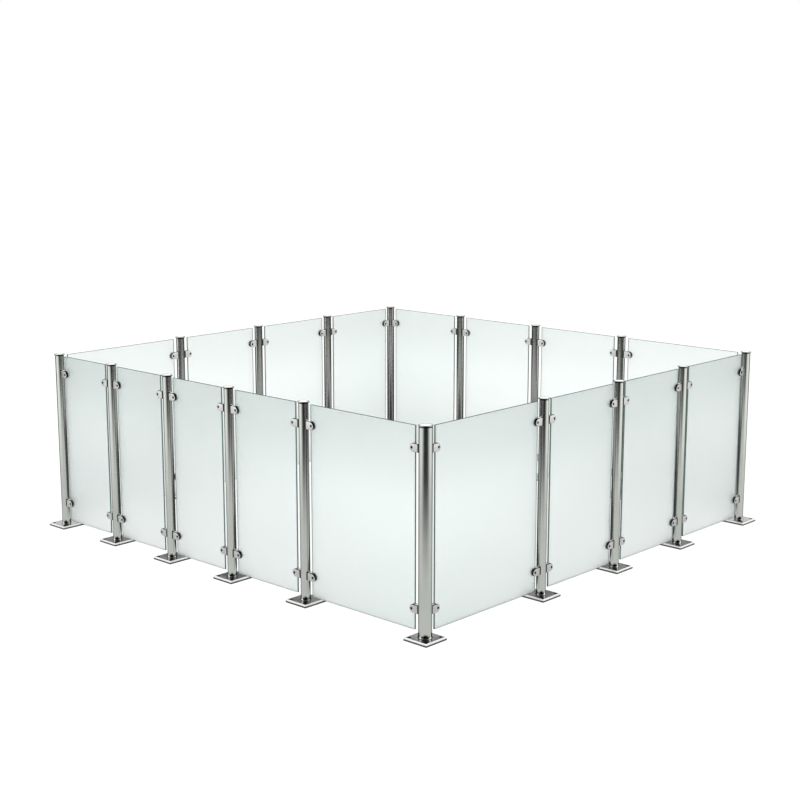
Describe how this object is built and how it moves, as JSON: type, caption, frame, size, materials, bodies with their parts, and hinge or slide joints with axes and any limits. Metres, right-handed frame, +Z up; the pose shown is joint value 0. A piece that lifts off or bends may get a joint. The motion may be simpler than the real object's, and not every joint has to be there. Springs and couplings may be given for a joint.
{
  "type": "post and panel fence enclosure",
  "caption": "Closed rectangular fence enclosure: round steel posts on bolt-down base plates with frosted plastic panels held between them in D-shaped clamps",
  "frame": {"origin": "on the floor under the middle of the enclosure's plan", "axes": "+X along the front right side, +Y along the front left side, +Z up; the front corner is at low X and low Y"},
  "size_m": [2.855, 2.925, 1],
  "materials": {
    "post_steel": "polished stainless",
    "clamp_steel": "satin stainless",
    "screw_steel": "plain stainless",
    "frosted_panel": "frosted, translucent",
    "rubber": "matt"
  },
  "bodies": {
    "root": {"clamp_covers_back_left": "clamp_steel", "clamp_covers_back_right": "clamp_steel", "clamp_covers_front_left": "clamp_steel", "clamp_covers_front_right": "clamp_steel", "clamp_jaws_back_left": "clamp_steel", "clamp_jaws_back_right": "clamp_steel", "clamp_jaws_front_left": "clamp_steel", "clamp_jaws_front_right": "clamp_steel", "clamp_liners_back_left": "rubber", "clamp_liners_back_right": "rubber", "clamp_liners_front_left": "rubber", "clamp_liners_front_right": "rubber", "clamp_pads_back_left": "rubber", "clamp_pads_back_right": "rubber", "clamp_pads_front_left": "rubber", "clamp_pads_front_right": "rubber", "clamp_screws_back_left": "screw_steel", "clamp_screws_back_right": "screw_steel", "clamp_screws_front_left": "screw_steel", "clamp_screws_front_right": "screw_steel", "panel_back_left_1": "frosted_panel", "panel_back_left_2": "frosted_panel", "panel_back_left_3": "frosted_panel", "panel_back_left_4": "frosted_panel", "panel_back_right_1": "frosted_panel", "panel_back_right_2": "frosted_panel", "panel_back_right_3": "frosted_panel", "panel_back_right_4": "frosted_panel", "panel_front_left_1": "frosted_panel", "panel_front_left_2": "frosted_panel", "panel_front_left_3": "frosted_panel", "panel_front_left_4": "frosted_panel", "panel_front_left_5": "frosted_panel", "panel_front_right_1": "frosted_panel", "panel_front_right_2": "frosted_panel", "panel_front_right_3": "frosted_panel", "panel_front_right_4": "frosted_panel", "post_back_corner": "post_steel", "post_back_left_1": "post_steel", "post_back_left_2": "post_steel", "post_back_left_3": "post_steel", "post_back_right_1": "post_steel", "post_back_right_2": "post_steel", "post_back_right_3": "post_steel", "post_caps": "post_steel", "post_front_corner": "post_steel", "post_front_left_1": "post_steel", "post_front_left_2": "post_steel", "post_front_left_3": "post_steel", "post_front_left_4": "post_steel", "post_front_right_1": "post_steel", "post_front_right_2": "post_steel", "post_front_right_3": "post_steel", "post_left_corner": "post_steel", "post_right_corner": "post_steel", "post_screws_back_left": "screw_steel", "post_screws_back_right": "screw_steel", "post_screws_front_left": "screw_steel", "post_screws_front_right": "screw_steel"}
  },
  "joints": []
}
